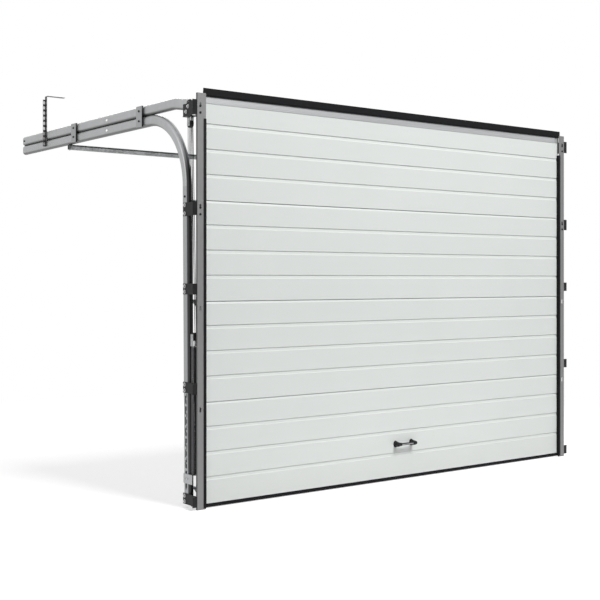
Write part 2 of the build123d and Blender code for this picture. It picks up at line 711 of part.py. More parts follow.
def hanger():
    """A perforated angle on both rails, whose wide leg is folded inwards under the ceiling."""
    mid = HANGER_SHEET / 2
    front = HANGER_Y - HANGER_WIDE_LEG / 2
    back = HANGER_Y + HANGER_WIDE_LEG / 2
    fold = [
        (HALF + mid, HANGER_FOOT_Z),
        (HALF + mid, HANGER_TOP_Z - 4 * mid),
        (HALF - 2 * mid, HANGER_TOP_Z - mid),
        (HALF - HANGER_REACH, HANGER_TOP_Z - mid),
    ]
    body = along_y(folded_sheet(fold, HANGER_SHEET), front, back)
    outer = HALF + HANGER_SHORT_LEG
    body += block(HALF, outer, back - HANGER_SHEET, back, HANGER_FOOT_Z, HANGER_TOP_Z - HANGER_NOTCH)
    count = int((HANGER_TOP_Z - HANGER_NOTCH - HANGER_FOOT_Z) / HANGER_SLOT_PITCH)
    short_middle = (HALF + HANGER_SHEET + outer) / 2
    for i in range(count):
        z = HANGER_FOOT_Z + (i + 0.5) * HANGER_SLOT_PITCH
        if z > UPPER_RAIL_Z + TRACK_HEIGHT / 2:
            wide_leg = slot_face((HANGER_Y - mid, z), HANGER_SLOT)
            body -= along_x(wide_leg, HALF - 1, HALF + HANGER_SHEET + 1)
        body -= along_y(slot_face((short_middle, z), HANGER_SLOT), back - HANGER_SHEET - 1, back + 1)
    wide, long = HANGER_SLOT
    foot_slot = slot_face((HALF - HANGER_REACH + HANGER_END_SLOT, HANGER_Y), (long, wide))
    return body - along_z(foot_slot, HANGER_TOP_Z - HANGER_SHEET - 1, HANGER_TOP_Z + 1)


def cross_bar():
    """A lipped channel under both lower rails."""
    mid = CROSS_BAR_SHEET / 2
    high = LOWER_RAIL_Z - TRACK_HEIGHT / 2 - mid
    low = high + CROSS_BAR_SHEET - CROSS_BAR_HEIGHT
    front = CROSS_BAR_Y - CROSS_BAR_DEPTH / 2
    back = CROSS_BAR_Y + CROSS_BAR_DEPTH / 2
    face = folded_sheet([
        (front, low + CROSS_BAR_LIP), (front, low), (back, low), (back, high), (front, high),
    ], CROSS_BAR_SHEET)
    return along_x(face, CROSS_BAR_END - HALF, HALF - CROSS_BAR_END)


# Springs, pulleys and ropes
def spring():
    """The outer shape of the close-wound tension spring."""
    body = bar_z(SPRING_DIAMETER, SPRING_X, SPRING_Y, SPRING_FOOT, SPRING_HEAD)
    return body - bar_z(SPRING_BORE, SPRING_X, SPRING_Y, SPRING_FOOT - 1, SPRING_HEAD + 1)


def spring_plug(z0, z1):
    return bar_z(SPRING_BORE - 6 * SEAT, SPRING_X, SPRING_Y, z0, z1)


def spring_anchor():
    """A plate on the track's web, folded in under the spring, with the plug that holds its end."""
    front, back, low = ANCHOR_PLATE
    web = block(HALF, HALF + ANCHOR_SHEET, front, back, low, SPRING_FOOT)
    reach = block(HALF - ANCHOR_REACH, HALF, front, SPRING_Y + 16, SPRING_FOOT - ANCHOR_SHEET, SPRING_FOOT)
    return web + reach + spring_plug(SPRING_FOOT - 1, SPRING_FOOT + SPRING_PLUG)


def pulley_yoke(x, y, z, base_z):
    """A steel strap round a pulley, with its pin. Its base plate starts at base_z."""
    inner = PULLEY_WIDTH / 2 + PULLEY_SIDE_ROOM
    outer = inner + YOKE_SHEET
    half = YOKE_WIDTH / 2
    up = 1 if base_z < z else -1
    base_end = base_z + up * YOKE_SHEET
    tip = z + up * YOKE_END
    yoke = block(x - outer, x + outer, y - half, y + half, min(base_z, base_end), max(base_z, base_end))
    for side in (-1, 1):
        near, far = sorted((side * inner, side * outer))
        yoke += block(x + near, x + far, y - half, y + half, min(base_z, tip), max(base_z, tip))
    return yoke + bar_x(PULLEY_PIN, x - outer - PIN_HEAD, x + outer + PIN_HEAD, y, z)


def pulley(x, y, z):
    """A moulded wheel with two rope grooves and a ring of holes."""
    half = PULLEY_WIDTH / 2
    profile = [(-half, PULLEY_PIN / 2 + PULLEY_PIN_PLAY), (-half, PULLEY_RADIUS)]
    for groove in (-ROPE_SPACING / 2, ROPE_SPACING / 2):
        profile += [
            (groove - GROOVE_WIDTH / 2, PULLEY_RADIUS),
            (groove - GROOVE_WIDTH / 2, PULLEY_PITCH_RADIUS - ROPE_DIAMETER / 4),
            (groove - GROOVE_FLOOR_WIDTH / 2, GROOVE_FLOOR_RADIUS),
            (groove + GROOVE_FLOOR_WIDTH / 2, GROOVE_FLOOR_RADIUS),
            (groove + GROOVE_WIDTH / 2, PULLEY_PITCH_RADIUS - ROPE_DIAMETER / 4),
            (groove + GROOVE_WIDTH / 2, PULLEY_RADIUS),
        ]
    profile += [(half, PULLEY_RADIUS), (half, PULLEY_PIN / 2 + PULLEY_PIN_PLAY)]
    wheel = revolve(Plane.XZ * outline(profile), Axis.X, 360)
    for i in range(PULLEY_HOLE_COUNT):
        angle = 2 * math.pi * i / PULLEY_HOLE_COUNT
        hole_y = PULLEY_HOLE_RADIUS * math.cos(angle)
        hole_z = PULLEY_HOLE_RADIUS * math.sin(angle)
        wheel -= bar_x(PULLEY_HOLE, -half - 1, half + 1, hole_y, hole_z)
    return Pos(x, y, z) * wheel


def rope(offset):
    """One rope: from the top bracket round both pulleys to the lug of the bottom bracket."""
    r = PULLEY_PITCH_RADIUS
    spring_x = SPRING_X + offset
    upper_x = UPPER_PULLEY_X + offset
    hook_y = roller_line(BOTTOM_ROLLER_Z) + ROPE_HOOK_BEHIND
    path = FilletPolyline(
        (HALF - ROPE_ANCHOR_LINE + offset, ROPE_ANCHOR_Y, TOP_BRACKET_FOOT - SEAT),
        (spring_x, SPRING_Y + r, LOWER_PULLEY_Z - r),
        (spring_x, SPRING_Y - r, LOWER_PULLEY_Z - r),
        (upper_x, UPPER_PULLEY_Y - r, UPPER_PULLEY_Z + r),
        (upper_x, UPPER_PULLEY_Y + r, UPPER_PULLEY_Z + r),
        (HALF - ROPE_HOOK_LINE + offset, hook_y, BOTTOM_ROLLER_Z + ROPE_LUG_RISE + SEAT),
        radius=ROPE_BEND,
    )
    return sweep(Plane(origin=path @ 0, z_dir=path % 0) * Circle(ROPE_DIAMETER / 2), path=path)


os.makedirs("parts", exist_ok=True)

for i in range(SECTION_COUNT):
    write(f"section_{i + 1}", leaf_section(i))
write_both("end_caps", *[end_cap(i) for i in range(SECTION_COUNT)])
write("top_profile", top_profile())
write("top_seal", top_seal())
write("bottom_profile", bottom_profile())
write("bottom_seal", bottom_seal())
write_both("handle_ends", handle_end())
write("handle_bar", handle_bar())

top_y, top_z = top_roller_place()
roller_places = [(roller_line(z), z) for z in [BOTTOM_ROLLER_Z] + JOINT_HEIGHTS] + [(top_y, top_z)]
write_both("side_hinges", *[side_hinge(z) for z in JOINT_HEIGHTS])
write("center_hinges", *center_hinges())
write_both("rollers", *[roller(y, z) for y, z in roller_places])
write_both("top_roller_carriers", top_roller_carrier())
write_both("bottom_brackets", bottom_bracket())

write_sides("post", post())
write_both("lip_seals", lip_seal())
write_sides("vertical_track", vertical_track())
write_sides("curved_track", curved_track())
write_sides("lower_rail", lower_rail())
write_sides("upper_rail", upper_rail())
write_sides("track_brackets", *track_brackets())
write_sides("top_bracket", top_bracket())
write_both("rail_plates", *rail_plates())
write_sides("hanger", hanger())
write("cross_bar", cross_bar())

write_sides("spring", spring())
write_both("spring_anchors", spring_anchor())
upper_yoke = pulley_yoke(UPPER_PULLEY_X, UPPER_PULLEY_Y, UPPER_PULLEY_Z, TOP_BRACKET_FOOT)
lower_yoke = pulley_yoke(SPRING_X, SPRING_Y, LOWER_PULLEY_Z, SPRING_HEAD)
lower_yoke += spring_plug(SPRING_HEAD - SPRING_PLUG, SPRING_HEAD + 1)
write_both("pulley_yokes", upper_yoke, lower_yoke)
write_sides("upper_pulley", pulley(UPPER_PULLEY_X, UPPER_PULLEY_Y, UPPER_PULLEY_Z))
write_sides("lower_pulley", pulley(SPRING_X, SPRING_Y, LOWER_PULLEY_Z))
write_sides("ropes", *[rope(side * ROPE_SPACING / 2) for side in (-1, 1)])
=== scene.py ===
# Sectional garage door: the looks of the leaf, its frame, the tracks, the springs and their ropes,
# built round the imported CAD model. Everything is in metres. X runs to the right seen from outside,
# Y into the garage and Z up, from the foot of the left post.
import math

import bpy
from mathutils import Matrix, Vector


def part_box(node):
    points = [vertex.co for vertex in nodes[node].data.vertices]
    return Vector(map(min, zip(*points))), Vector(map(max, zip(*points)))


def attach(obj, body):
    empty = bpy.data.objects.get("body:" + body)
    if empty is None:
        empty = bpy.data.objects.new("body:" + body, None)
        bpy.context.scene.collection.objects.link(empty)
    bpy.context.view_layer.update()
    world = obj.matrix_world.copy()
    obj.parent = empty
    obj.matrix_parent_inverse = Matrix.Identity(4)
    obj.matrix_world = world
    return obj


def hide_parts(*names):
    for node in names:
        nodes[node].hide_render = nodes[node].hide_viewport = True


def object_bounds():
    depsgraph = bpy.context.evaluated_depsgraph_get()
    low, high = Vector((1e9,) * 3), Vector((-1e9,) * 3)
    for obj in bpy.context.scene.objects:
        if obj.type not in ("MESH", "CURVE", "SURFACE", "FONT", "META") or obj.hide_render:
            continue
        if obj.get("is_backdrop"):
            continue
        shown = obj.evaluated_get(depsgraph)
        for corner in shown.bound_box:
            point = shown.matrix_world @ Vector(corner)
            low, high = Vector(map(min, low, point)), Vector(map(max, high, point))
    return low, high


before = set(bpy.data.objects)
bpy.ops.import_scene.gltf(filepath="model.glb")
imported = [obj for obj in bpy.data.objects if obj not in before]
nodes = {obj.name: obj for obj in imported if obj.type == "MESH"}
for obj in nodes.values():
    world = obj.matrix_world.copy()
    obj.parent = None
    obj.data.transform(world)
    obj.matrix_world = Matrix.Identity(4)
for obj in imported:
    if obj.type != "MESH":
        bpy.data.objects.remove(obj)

cad_low, cad_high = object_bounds()
body = "door"
middle = (cad_low.x + cad_high.x) / 2
sides = {"left": -1, "right": 1}

# Camera: level, outside the door and to its left, at the middle of its height.
# The long lens keeps the uprights parallel.
lens = bpy.data.cameras.new("camera")
lens.sensor_width = 36.0
lens.lens = 65.34
lens.shift_y = -0.0347
lens.clip_end = 100.0
camera = bpy.data.objects.new("camera", lens)
camera.location = (-2.8325, -4.5713, 1.1345)
camera.rotation_euler = (math.radians(90), 0, math.radians(-36.94))
bpy.context.scene.collection.objects.link(camera)
bpy.context.scene.camera = camera
bpy.context.scene.view_settings.view_transform = "Standard"


# Leaf sections: foam between two painted steel skins, rolled with three ribs each and finely
# embossed. The paint is a cool white with a soft sheen, a little dusty near the floor.
class Value:
    """A number that varies over a surface. Sums and products of it add Math nodes."""

    def __init__(self, finish, socket):
        self.finish = finish
        self.socket = socket

    def _math(self, operation, *numbers):
        return self.finish.add("Math", {"operation": operation}, dict(enumerate(numbers)))

    def __add__(self, other):
        return self._math("ADD", self, other)

    def __sub__(self, other):
        return self._math("SUBTRACT", self, other)

    def __rsub__(self, other):
        return self._math("SUBTRACT", other, self)

    def __mul__(self, other):
        return self._math("MULTIPLY", self, other)

    def __truediv__(self, other):
        return self._math("DIVIDE", self, other)


class Finish:
    """A material on the Principled shader. Fixed values are set on the shader's own sockets."""

    def __init__(self, name, **fixed):
        self.material = bpy.data.materials.new(name)
        self.material.use_nodes = True
        self.tree = self.material.node_tree
        self.shader = self.tree.nodes["Principled BSDF"]
        for socket, value in fixed.items():
            self.shader.inputs[self.label(socket)].default_value = value

    def label(self, socket):
        """The shader's own name of a socket, as in Specular IOR Level."""
        return socket.replace("_", " ").title().replace("Ior", "IOR")

    def add(self, kind, settings, values, output=0):
        node = self.tree.nodes.new("ShaderNode" + kind)
        for name, value in settings.items():
            if name == "stops":
                ramp = node.color_ramp.elements
                while len(ramp) < len(value):
                    ramp.new(0.5)
                for element, (place, color) in zip(ramp, value):
                    element.position = place
                    element.color = color
            else:
                setattr(node, name, value)
        for socket, value in values.items():
            if isinstance(value, Value):
                self.tree.links.new(value.socket, node.inputs[socket])
            else:
                node.inputs[socket].default_value = value
        return Value(self, node.outputs[output])

    def place(self, *stretch):
        """The place on the piece, with each axis multiplied, for a pattern that is longer one way."""
        point = self.add("TexCoord", {}, {}, "Object")
        return self.add("Mapping", {}, {"Vector": point, "Scale": stretch}) if stretch else point

    def axis(self, letter):
        return self.add("SeparateXYZ", {}, {0: self.place()}, letter)

    def facing(self, letter):
        """How far the surface faces along an axis of the object."""
        return self.add("SeparateXYZ", {}, {0: self.add("TexCoord", {}, {}, "Normal")}, letter)

    def noise(self, scale, detail=3.0, stretch=()):
        inputs = {"Vector": self.place(*stretch), "Scale": scale, "Detail": detail}
        return self.add("TexNoise", {}, inputs, "Fac")

    def between(self, value, low, high, to_low=0.0, to_high=1.0):
        """The value's rise from low to high, as a rise from to_low to to_high."""
        return self.add("MapRange", {"interpolation_type": "SMOOTHSTEP"},
                        {0: value, 1: low, 2: high, 3: to_low, 4: to_high})

    def blend(self, share, first, second):
        """A colour between two colours."""
        full = [color if isinstance(color, Value) else (*color, 1.0) for color in (first, second)]
        return self.add("Mix", {"data_type": "RGBA"}, {0: share, 6: full[0], 7: full[1]}, 2)

    def bump(self, height, depth, strength):
        return self.add("Bump", {}, {"Height": height, "Distance": depth, "Strength": strength})

    def feed(self, **varying):
        for socket, value in varying.items():
            self.tree.links.new(value.socket, self.shader.inputs[self.label(socket)])
        return self


def paint(finish, *names):
    """Gives CAD nodes a finish."""
    for name in names:
        nodes[name].data.materials.clear()
        nodes[name].data.materials.append(finish.material)


def white_skin():
    skin = Finish("white_skin", specular_ior_level=0.4)
    grain = skin.noise(60.0, 5.0, (1.0, 8.0, 22.0))
    cloud = skin.noise(1.7, 2.0)
    dust = skin.between(skin.axis("Z") + skin.noise(9.0) * 0.1, 0.03, 0.3, to_low=1.0, to_high=0.0)
    clean = skin.blend(cloud, (0.660, 0.690, 0.672), (0.700, 0.725, 0.708))
    return skin.feed(
        base_color=skin.blend(dust * 0.25, clean, (0.55, 0.555, 0.53)),
        roughness=grain * 0.12 + cloud * 0.08 + 0.36,
        normal=skin.bump(grain, 0.0002, 0.5),
    )


paint(white_skin(), *(name for name in nodes if name.startswith("section_")))


# End caps, hinges and roller carriers: pressed galvanized steel, with the soft flakes of the zinc
# and dull streaks. The caps are riveted to the leaf, and the rest is screwed to its rear.
def zinc_steel(name, dark, light, flake=0.012, roughness=0.38):
    zinc = Finish(name, metallic=0.9)
    flakes = zinc.add("TexVoronoi", {}, {"Vector": zinc.place(), "Scale": 1 / flake}, "Color")
    tone = zinc.add("SeparateColor", {}, {0: flakes}, "Red")
    streak = zinc.noise(14.0, 4.0, (1.0, 1.0, 0.25))
    share = tone * 0.45 + streak * 0.75 - 0.1
    return zinc.feed(
        base_color=zinc.blend(share, dark, light),
        roughness=tone * 0.12 + streak * 0.14 + (roughness - 0.12),
        normal=zinc.bump(zinc.noise(220.0, 3.0), 0.0001, 0.4),
    )


cap_steel = zinc_steel("cap_steel", (0.40, 0.41, 0.42), (0.54, 0.55, 0.56))
paint(cap_steel, "end_caps", "side_hinges", "center_hinges", "top_roller_carriers", "bottom_brackets")


# Leaf screws: pan heads with a round socket, driven through the hinge plates and roller brackets
# into the rear skin, and two rivets through each end cap.
def pick(piece, wanted):
    """Enters edit mode with only the wanted faces selected."""
    bpy.ops.object.select_all(action="DESELECT")
    piece.select_set(True)
    bpy.context.view_layer.objects.active = piece
    bpy.ops.object.mode_set(mode="EDIT")
    bpy.ops.mesh.select_mode(type="FACE")
    bpy.ops.mesh.select_all(action="DESELECT")
    bpy.ops.object.mode_set(mode="OBJECT")
    for face in piece.data.polygons:
        face.select = wanted(face)
    bpy.ops.object.mode_set(mode="EDIT")


def turned_blank(corners, radius, low, high, rim, steps=2):
    """A round or hexagonal blank standing on the XY plane, with its upper rim rounded."""
    bpy.ops.object.select_all(action="DESELECT")
    bpy.ops.mesh.primitive_cylinder_add(vertices=corners, radius=radius, depth=high - low,
                                        location=(0, 0, (low + high) / 2))
    blank = bpy.context.object
    bpy.ops.object.transform_apply(location=True, rotation=True, scale=True)
    pick(blank, lambda face: face.normal.z > 0.9)
    bpy.ops.mesh.bevel(offset=rim, segments=steps, affect="EDGES")
    bpy.ops.object.mode_set(mode="OBJECT")
    return blank


def join(name, pieces):
    bpy.ops.object.select_all(action="DESELECT")
    for piece in pieces:
        piece.select_set(True)
    bpy.context.view_layer.objects.active = pieces[0]
    if len(pieces) > 1:
        bpy.ops.object.join()
    bpy.ops.object.shade_smooth_by_angle(angle=math.radians(35))
    pieces[0].name = name
    return pieces[0]


def pan_screw():
    head = turned_blank(corners=16, radius=0.0052, low=0.0, high=0.0032, rim=0.0018, steps=3)
    top = max(face.center.z for face in head.data.polygons)
    pick(head, lambda face: face.normal.z > 0.9 and face.center.z > top - 0.0001)
    bpy.ops.mesh.inset(thickness=0.0012, depth=0.0)
    bpy.ops.mesh.inset(thickness=0.0002, depth=-0.0015)
    bpy.ops.object.mode_set(mode="OBJECT")
    return join("pan_screw", [head])


def finished(piece, finish):
    """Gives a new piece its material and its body."""
    piece.data.materials.clear()
    piece.data.materials.append(finish.material)
    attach(piece, body)
    return piece


def set_out(pattern, name, places, finish):
    """Copies of a fastener, each seated at its place and facing away from it, joined as one piece."""
    copies = []
    for place, facing in places:
        copy = pattern.copy()
        copy.data = pattern.data.copy()
        turn = Vector(facing).to_track_quat("Z", "Y").to_matrix().to_4x4()
        copy.data.transform(Matrix.Translation(place) @ turn)
        bpy.context.scene.collection.objects.link(copy)
        copies.append(copy)
    return finished(join(name, copies), finish)


inward = (0, 1, 0)
section_height = 0.5
joint_heights = (0.525, 1.025, 1.525)
hinge_line = 1.300
hinge_face = 0.0605
center_hinge_lines = (-0.66, 0.0, 0.66)
center_hinge_face = 0.059
rivet_line = 1.302
cap_face = 0.0575
screw_pairs = [(joint - 0.040, 0.010) for joint in joint_heights]
screw_pairs += [(joint + rise, 0.015) for joint in joint_heights for rise in (0.014, 0.040)]
screw_pairs += [(height, 0.010) for height in (0.055, 0.111, 1.913, 1.940)]
screw = pan_screw()
side_screws = [((middle + sign * hinge_line + across, hinge_face, height), inward)
               for sign in sides.values() for height, half in screw_pairs for across in (-half, half)]
center_screws = [((middle + line + across, center_hinge_face, joint + rise), inward)
                 for joint in joint_heights for line in center_hinge_lines
                 for across in (-0.018, 0.018) for rise in (-0.036, 0.036)]
rivets = [((middle + sign * rivet_line, cap_face, section * section_height + rise), inward)
          for sign in sides.values() for section in range(4) for rise in (0.195, 0.355)]
screw_steel = zinc_steel("screw_steel", (0.30, 0.30, 0.31), (0.44, 0.44, 0.45),
                         flake=0.003, roughness=0.3)
set_out(screw, "hinge_screws", side_screws + center_screws, screw_steel)
rivet = turned_blank(corners=14, radius=0.0042, low=0.0, high=0.0018, rim=0.0015, steps=3)
set_out(rivet, "cap_rivets", rivets, screw_steel)


# Head and sill profiles: extruded aluminium in its mill finish, with faint drawing lines along
# its length. They clasp the top and bottom edges of the leaf.
def mill_aluminium():
    metal = Finish("mill_aluminium", metallic=0.6)
    lines = metal.noise(90.0, 4.0, (0.02, 6.0, 6.0))
    patch = metal.noise(3.0)
    return metal.feed(
        base_color=metal.blend(lines * 0.6 + patch * 0.4, (0.50, 0.51, 0.52), (0.68, 0.69, 0.7)),
        roughness=lines * 0.2 + 0.32,
        normal=metal.bump(lines, 0.0001, 0.35),
    )


paint(mill_aluminium(), "top_profile", "bottom_profile")


# Seals: extruded black rubber along the head, the floor and both posts. It has a dull skin with
# the faint chalk that old rubber shows.
def black_rubber():
    rubber = Finish("black_rubber", specular_ior_level=0.1)
    chalk = rubber.noise(35.0, 5.0)
    return rubber.feed(
        base_color=rubber.blend(chalk, (0.005, 0.005, 0.006), (0.013, 0.013, 0.014)),
        roughness=chalk * 0.25 + 0.5,
        normal=rubber.bump(rubber.noise(400.0), 0.0002, 0.5),
    )


seal_rubber = black_rubber()
paint(seal_rubber, "top_seal", "bottom_seal", "lip_seals")


# Lip seals: a black strip clipped over each post's inner edge. Its cover lies on the post's front,
# and its lip turns in and bears on the face of the leaf.
def lip_seal(sign):
    low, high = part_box("lip_seals")
    edge = 1.325
    cover = 0.014
    wall = 0.0018
    gap = 0.0001
    stem = 0.0105
    bearing = 0.0155
    lean = 0.0016
    across = middle + sign * (edge + (cover - wall) / 2)
    bpy.ops.object.select_all(action="DESELECT")
    bpy.ops.mesh.primitive_cube_add(size=1.0, location=(across, -wall / 2 - gap, (low.z + high.z) / 2),
                                    scale=(cover + wall, wall, high.z - low.z))
    seal = bpy.context.object
    bpy.ops.object.transform_apply(location=True, rotation=True, scale=True)
    bpy.ops.object.mode_set(mode="EDIT")
    bpy.ops.mesh.select_all(action="SELECT")
    bpy.ops.mesh.bisect(plane_co=(middle + sign * (edge - gap), 0, 0), plane_no=(1, 0, 0))
    bpy.ops.object.mode_set(mode="OBJECT")
    pick(seal, lambda face: face.normal.y > 0.9 and abs(face.center.x - middle) < edge - 2 * gap)
    bpy.ops.mesh.extrude_region_move(TRANSFORM_OT_translate={"value": (0, stem, 0)})
    bpy.ops.mesh.extrude_region_move(TRANSFORM_OT_translate={"value": (-sign * lean, bearing - stem, 0)})
    bpy.ops.mesh.select_all(action="SELECT")
    bpy.ops.mesh.normals_make_consistent(inside=False)
    bpy.ops.object.mode_set(mode="OBJECT")
    rounding = seal.modifiers.new("rounding", "BEVEL")
    rounding.width = 0.0004
    rounding.segments = 2
    bpy.ops.object.modifier_apply(modifier="rounding")
    return seal


strips = join("lip_seal_strips", [lip_seal(sign) for sign in sides.values()])
lips = finished(strips, seal_rubber)
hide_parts("lip_seals")


# Handle: a round bar of brushed stainless steel in two moulded black ends, on the outer face low on the
# leaf. The bar shines along its front, and its faces turned up and down are painted near black as painted
# shade.
def moulded_black():
    plastic = Finish("moulded_black", specular_ior_level=0.2)
    cloud = plastic.noise(30.0)
    return plastic.feed(
        base_color=plastic.blend(cloud, (0.008, 0.008, 0.009), (0.016, 0.016, 0.017)),
        roughness=cloud * 0.15 + 0.38,
        normal=plastic.bump(plastic.noise(900.0), 0.0001, 0.5),
    )


def brushed_bar():
    steel = Finish("brushed_bar", metallic=1.0)
    lines = steel.noise(300.0, 3.0, (0.03, 1.0, 1.0))
    upward = steel.facing("Z")
    # Painted shade: where the bar faces up or down, its colour goes to near black.
    painted_flank_shade = steel.between(upward * upward, 0.02, 0.16)
    satin = steel.blend(lines, (0.38, 0.38, 0.39), (0.56, 0.56, 0.57))
    return steel.feed(
        base_color=steel.blend(painted_flank_shade, satin, (0.045, 0.045, 0.047)),
        roughness=lines * 0.15 + 0.25,
    )


plastic_black = moulded_black()
paint(plastic_black, "handle_ends")
paint(brushed_bar(), "handle_bar")


# Rollers: grey nylon wheels that run in the tracks, one at each joint of the leaf and at its
# corners. Their short axles sit in the roller carriers and have the same grey.
def roller_nylon():
    nylon = Finish("roller_nylon", specular_ior_level=0.5)
    cloud = nylon.noise(50.0)
    return nylon.feed(
        base_color=nylon.blend(cloud, (0.42, 0.42, 0.41), (0.55, 0.55, 0.53)),
        roughness=cloud * 0.2 + 0.3,
    )


paint(roller_nylon(), "rollers")


# Posts: folded strip steel, screwed to the wall through the slots. Their grey primer is smooth and
# faintly clouded, and the folded sides carry painted shade that makes them nearly black.
def post_steel():
    steel = Finish("post_steel", metallic=0.35, specular_ior_level=0.5)
    cloud = steel.noise(4.0, 3.0, (1.0, 1.0, 0.4))
    fine = steel.noise(70.0, 4.0)
    across = steel.facing("X")
    # Painted shade: faces turned along X, the folded sides, take a near black in place of the primer.
    painted_side_shade = steel.between(across * across, 0.3, 0.7)
    face = steel.blend(cloud * 0.7 + fine * 0.3, (0.205, 0.205, 0.205), (0.275, 0.275, 0.275))
    return steel.feed(
        base_color=steel.blend(painted_side_shade, face, (0.045, 0.045, 0.046)),
        roughness=fine * 0.2 + 0.4,
        normal=steel.bump(fine, 0.0001, 0.3),
    )


paint(post_steel(), "post_left", "post_right")


# Post screws: black hexagon heads with their washers, low in the upper slots and in the round
# holes under them, where the posts are fixed to the wall.
def hexagon_bolt(name, radius, height, washer_radius, washer=0.0016):
    plate = turned_blank(corners=24, radius=washer_radius, low=0.0, high=washer, rim=0.0004)
    head = turned_blank(corners=6, radius=radius, low=washer, high=washer + height, rim=0.0007)
    return join(name, [plate, head])


def blackened_steel():
    steel = Finish("bolt_black", specular_ior_level=0.25, metallic=0.2)
    wear = steel.noise(260.0, 4.0)
    return steel.feed(
        base_color=steel.blend(wear, (0.010, 0.010, 0.011), (0.030, 0.030, 0.031)),
        roughness=wear * 0.25 + 0.35,
    )


bolt_black = blackened_steel()
post_screw_line = 1.3575
to_the_front = (0, -1, 0)
post_screws = [((middle + sign * post_screw_line, 0.0, height), to_the_front)
               for sign in sides.values() for height in (1.454, 1.487, 1.954, 1.987)]
small_bolt = hexagon_bolt("small_bolt", radius=0.0050, height=0.0036, washer_radius=0.0062, washer=0.0010)
set_out(small_bolt, "post_screws", post_screws, bolt_black)


# Tracks and rails: rolled galvanized steel, open towards the leaf. The long webs are mottled with
# pale streaks, and a row of slots runs up the lower part of each vertical track.
def rolled_track(name, dark, light, slots=False, shaded_to=1.76):
    """Zinc, with painted shade under its flanges and, up to a height, on its front. The web may have slots.
    """
    zinc = Finish(name, metallic=0.9)
    tone = zinc.noise(55.0, 3.0)
    streak = zinc.noise(14.0, 4.0, (1.0, 1.0, 0.25))
    # Painted shade: faces towards the front below shaded_to, and faces turned down, take a near black in
    # place of the zinc.
    front = zinc.between(zinc.facing("Y"), -0.65, -0.15)
    above = zinc.between(zinc.axis("Z"), shaded_to - 0.1, shaded_to + 0.1)
    under = zinc.between(zinc.facing("Z"), -0.75, -0.2)
    painted_light_share = (front + above - front * above) * (under * 0.75 + 0.25)
    bright = zinc.blend(tone * 0.3 + streak * 0.7, dark, light)
    zinc.feed(base_color=zinc.blend(painted_light_share, (0.05, 0.05, 0.052), bright),
              roughness=streak * 0.16 + tone * 0.08 + 0.28,
              normal=zinc.bump(zinc.noise(220.0, 3.0), 0.0001, 0.35))
    if slots:
        zinc.feed(alpha=1 - slot_row(zinc))
    return zinc


def slot_row(zinc):
    """One inside each slot of the row and nothing elsewhere."""
    line = 0.101
    half_width = 0.0025
    pitch = 0.032
    length = 0.022
    first = 0.095
    last = 0.570
    height = zinc.axis("Z")
    away = zinc.axis("Y") - line
    inside = zinc.add("Math", {"operation": "LESS_THAN"}, {0: away * away, 1: half_width ** 2})
    step = zinc.add("Math", {"operation": "FRACT"}, {0: (height - first) / pitch})
    open_step = zinc.add("Math", {"operation": "LESS_THAN"}, {0: step, 1: length / pitch})
    above = zinc.add("Math", {"operation": "GREATER_THAN"}, {0: height, 1: first})
    below = zinc.add("Math", {"operation": "LESS_THAN"}, {0: height, 1: last})
    return inside * open_step * above * below


web_steel = rolled_track("web_steel", (0.28, 0.285, 0.29), (0.42, 0.425, 0.43), slots=True)
rail_steel = rolled_track("rail_steel", (0.34, 0.345, 0.35), (0.50, 0.505, 0.51))
for side in sides:
    paint(web_steel, f"vertical_track_{side}")
    paint(rail_steel, f"curved_track_{side}", f"lower_rail_{side}", f"upper_rail_{side}")


# Wall brackets: pressed steel in black powder coat, with the fine dimples that such a coat has.
# Each is bolted to the track or the rail beside it, and the lower ones have a foot on the wall.
def powder_black():
    coat = Finish("powder_black", specular_ior_level=0.2)
    orange_peel = coat.noise(350.0, 2.0)
    cloud = coat.noise(12.0)
    return coat.feed(
        base_color=coat.blend(cloud, (0.009, 0.009, 0.010), (0.018, 0.018, 0.019)),
        roughness=cloud * 0.2 + 0.32,
        normal=coat.bump(orange_peel, 0.0002, 0.5),
    )


bracket_black = powder_black()
paint(bracket_black, "track_brackets_left", "track_brackets_right", "top_bracket_left", "top_bracket_right")

# Bracket bolts: zinc hexagon bolts on wide washers, two through each bracket into the track, and
# black ones through the bracket's foot into the wall. Two small black bolts a side sit at the top of
# the vertical track and at the end of the upper rail.
bracket_leg = 1.378
bracket_foot = 1.390
bracket_foot_face = 0.003
track_face = 1.375
bolt_line = 0.116
bracket_levels = ((0.041, 0.014), (0.595, 0.014), (1.086, 0.014), (1.483, 0.021))
top_bracket_bolts = ((0.103, 1.968), (0.084, 1.993))
bracket_bolts = []
foot_bolts = []
for sign in sides.values():
    outward = (sign, 0, 0)
    leg = middle + sign * bracket_leg
    for height, half in bracket_levels:
        bracket_bolts += [((leg, bolt_line, height + rise), outward) for rise in (-half, half)]
        foot_bolts.append(((middle + sign * bracket_foot, bracket_foot_face, height), inward))
    bracket_bolts += [((leg, along, height), outward) for along, height in top_bracket_bolts]
track_bolts = [((middle + sign * track_face, along, height), (sign, 0, 0))
               for sign in sides.values() for along, height in ((0.118, 1.547), (2.128, 2.027))]
bolt_zinc = zinc_steel("bolt_zinc", (0.42, 0.42, 0.43), (0.62, 0.62, 0.63), flake=0.004, roughness=0.3)
wide_bolt = hexagon_bolt("wide_bolt", radius=0.0068, height=0.0052, washer_radius=0.0100)
set_out(wide_bolt, "bracket_bolts", bracket_bolts, bolt_zinc)
set_out(wide_bolt, "foot_bolts", foot_bolts, bolt_black)
set_out(small_bolt, "track_bolts", track_bolts, bolt_black)
